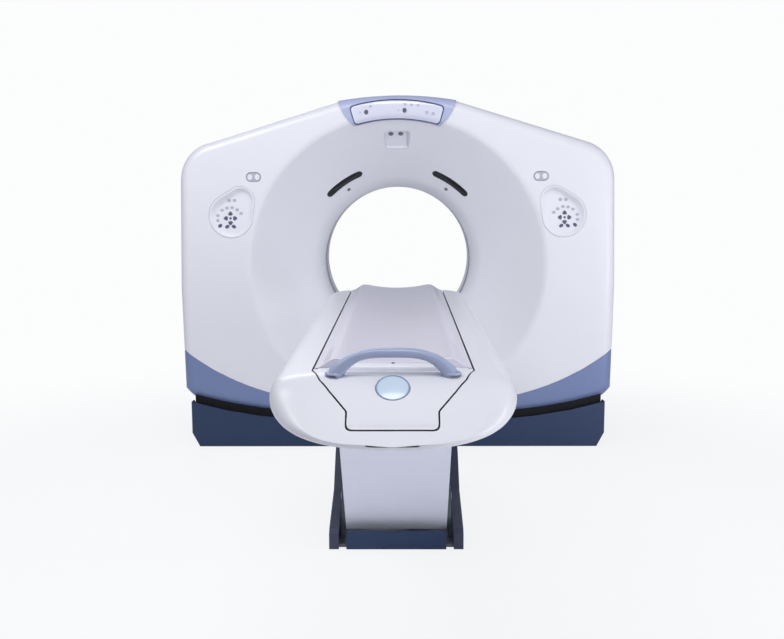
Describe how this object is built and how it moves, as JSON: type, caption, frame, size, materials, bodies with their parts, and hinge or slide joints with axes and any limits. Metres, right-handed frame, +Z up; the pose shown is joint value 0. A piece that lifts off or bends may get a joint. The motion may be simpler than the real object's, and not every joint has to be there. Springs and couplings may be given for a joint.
{
  "type": "ct scanner",
  "caption": "Tilting-gantry computed tomography scanner with a flared wide bore and a lifting patient table with a sliding cradle.",
  "frame": {"origin": "on the floor, at the middle of the plan outline", "axes": "+X to the right seen from the table's foot end, +Y from the table's foot end towards the gantry, +Z up"},
  "size_m": [2.24, 3.78, 1.795],
  "materials": {
    "white_cover": "satin moulded cover",
    "blue_band": "satin light blue",
    "bezel_blue": "satin periwinkle",
    "display": "smooth pale display",
    "navy": "satin dark navy",
    "window_black": "dark window",
    "handle_blue": "satin grey blue",
    "badge": "bare pale disc",
    "panel_grey": "satin light grey paint",
    "frame_steel": "dark grey paint",
    "machined_steel": "machined",
    "cast_aluminium": "cast and machined",
    "rubber_black": "matte",
    "motor_dark": "black paint",
    "copper_brass": "bright",
    "scan_film": "thin translucent film"
  },
  "bodies": {
    "base": {"gantry_base_frame": "frame_steel", "levelling_feet": "machined_steel", "stanchions": "frame_steel", "tilt_bearings": "machined_steel", "base_front_cover": "navy", "base_rear_cover": "navy", "base_side_covers": "navy", "tilt_gearmotor": "motor_dark", "floor_cable_duct": "frame_steel", "table_base_frame": "frame_steel", "table_base_cheeks": "navy", "table_kick_plate": "navy", "base_pivot_pins": "machined_steel", "lift_gearmotor": "motor_dark"},
    "tilting_gantry": {"tilt_frame": "cast_aluminium", "tilt_trunnions": "machined_steel", "tilt_sector_gear": "machined_steel", "bearing_outer_race": "machined_steel", "front_cover": "white_cover", "lower_band": "blue_band", "rear_cover": "white_cover", "top_cover": "white_cover", "side_covers": "white_cover", "scan_window": "scan_film", "display_bezel": "bezel_blue", "display_panel": "display", "sensor_pod": "white_cover", "laser_windows": "window_black", "control_pads": "white_cover", "cover_rails": "cast_aluminium", "rotor_motor": "motor_dark", "drive_belt": "rubber_black", "brush_block": "motor_dark"},
    "rotor": {"rotor_drum": "cast_aluminium", "bearing_inner_race": "machined_steel", "xray_tube": "panel_grey", "collimator": "frame_steel", "high_voltage_tanks": "panel_grey", "detector_arc": "frame_steel", "counterweight": "frame_steel", "slip_ring": "copper_brass"},
    "motor_pulley": {"motor_pulley": "machined_steel"},
    "tilt_pinion": {"tilt_pinion": "machined_steel"},
    "lift_pinion": {"lift_pinion": "machined_steel"},
    "call_button_left": {"call_button_left": "white_cover"},
    "call_button_right": {"call_button_right": "white_cover"},
    "front_arm": {"lift_arm_front": "frame_steel", "arm_cover_panel": "panel_grey", "lift_sector_gear": "machined_steel"},
    "rear_arm": {"lift_arm_rear": "frame_steel"},
    "table": {"table_frame": "cast_aluminium", "top_pivot_pins": "machined_steel", "table_shell": "white_cover", "table_skirt": "white_cover", "cradle_motor": "motor_dark"},
    "drive_roller": {"drive_roller": "rubber_black"},
    "cradle": {"cradle": "white_cover", "cradle_foot_cover": "white_cover", "cradle_handle": "handle_blue", "cradle_badge": "badge"}
  },
  "joints": [
    {"name": "gantry_tilt", "type": "hinge", "parent": "base", "child": "tilting_gantry", "pos_m": [0, 1.36, 0.945], "axis": [1, 0, 0], "range_deg": [-30, 30]},
    {"name": "tilt_drive", "type": "hinge", "parent": "base", "child": "tilt_pinion", "pos_m": [0.9, 1.36, 0.609], "axis": [1, 0, 0], "range_deg": [-251, 251]},
    {"name": "rotor_spin", "type": "hinge", "parent": "tilting_gantry", "child": "rotor", "pos_m": [0, 1.435, 0.945], "axis": [0, 1, 0], "continuous": true},
    {"name": "rotor_drive", "type": "hinge", "parent": "tilting_gantry", "child": "motor_pulley", "pos_m": [0.65973, 1.426, 0.28527], "axis": [0, 1, 0], "continuous": true},
    {"name": "call_button_left_press", "type": "slide", "parent": "tilting_gantry", "child": "call_button_left", "axis": [0, 1, 0], "range_m": [0, 0.003], "stiffness_N_per_m": 1500, "springref_m": -0.0015},
    {"name": "call_button_right_press", "type": "slide", "parent": "tilting_gantry", "child": "call_button_right", "axis": [0, 1, 0], "range_m": [0, 0.003], "stiffness_N_per_m": 1500, "springref_m": -0.0015},
    {"name": "table_lift", "type": "hinge", "parent": "base", "child": "front_arm", "pos_m": [0, -0.47, 0.165], "axis": [-1, 0, 0], "range_deg": [-36, 14]},
    {"name": "rear_arm_swing", "type": "hinge", "parent": "base", "child": "rear_arm", "pos_m": [0, -0.02, 0.165], "axis": [-1, 0, 0], "range_deg": [-36.1, 14.1]},
    {"name": "table_level", "type": "hinge", "parent": "front_arm", "child": "table", "pos_m": [0, -0.91052, 0.709], "axis": [-1, 0, 0], "range_deg": [-14.1, 36.1]},
    {"name": "lift_drive", "type": "hinge", "parent": "base", "child": "lift_pinion", "pos_m": [0, -0.3125, 0.165], "axis": [-1, 0, 0], "range_deg": [-85, 217]},
    {"name": "cradle_slide", "type": "slide", "parent": "table", "child": "cradle", "axis": [0, 1, 0], "range_m": [0, 1.7]},
    {"name": "cradle_drive", "type": "hinge", "parent": "table", "child": "drive_roller", "pos_m": [0.165, 0.24, 0.7637], "axis": [-1, 0, 0], "range_deg": [-1, 5420]}
  ],
  "couplings": [
    {"joint": "tilt_drive", "follows": "gantry_tilt", "ratio": -8.3333},
    {"joint": "rotor_drive", "follows": "rotor_spin", "ratio": 16.778},
    {"joint": "rear_arm_swing", "follows": "table_lift", "ratio": 1},
    {"joint": "table_level", "follows": "table_lift", "ratio": -1},
    {"joint": "lift_drive", "follows": "table_lift", "ratio": -6},
    {"joint": "cradle_drive", "follows": "cradle_slide", "rad_per_m": 55.556}
  ]
}
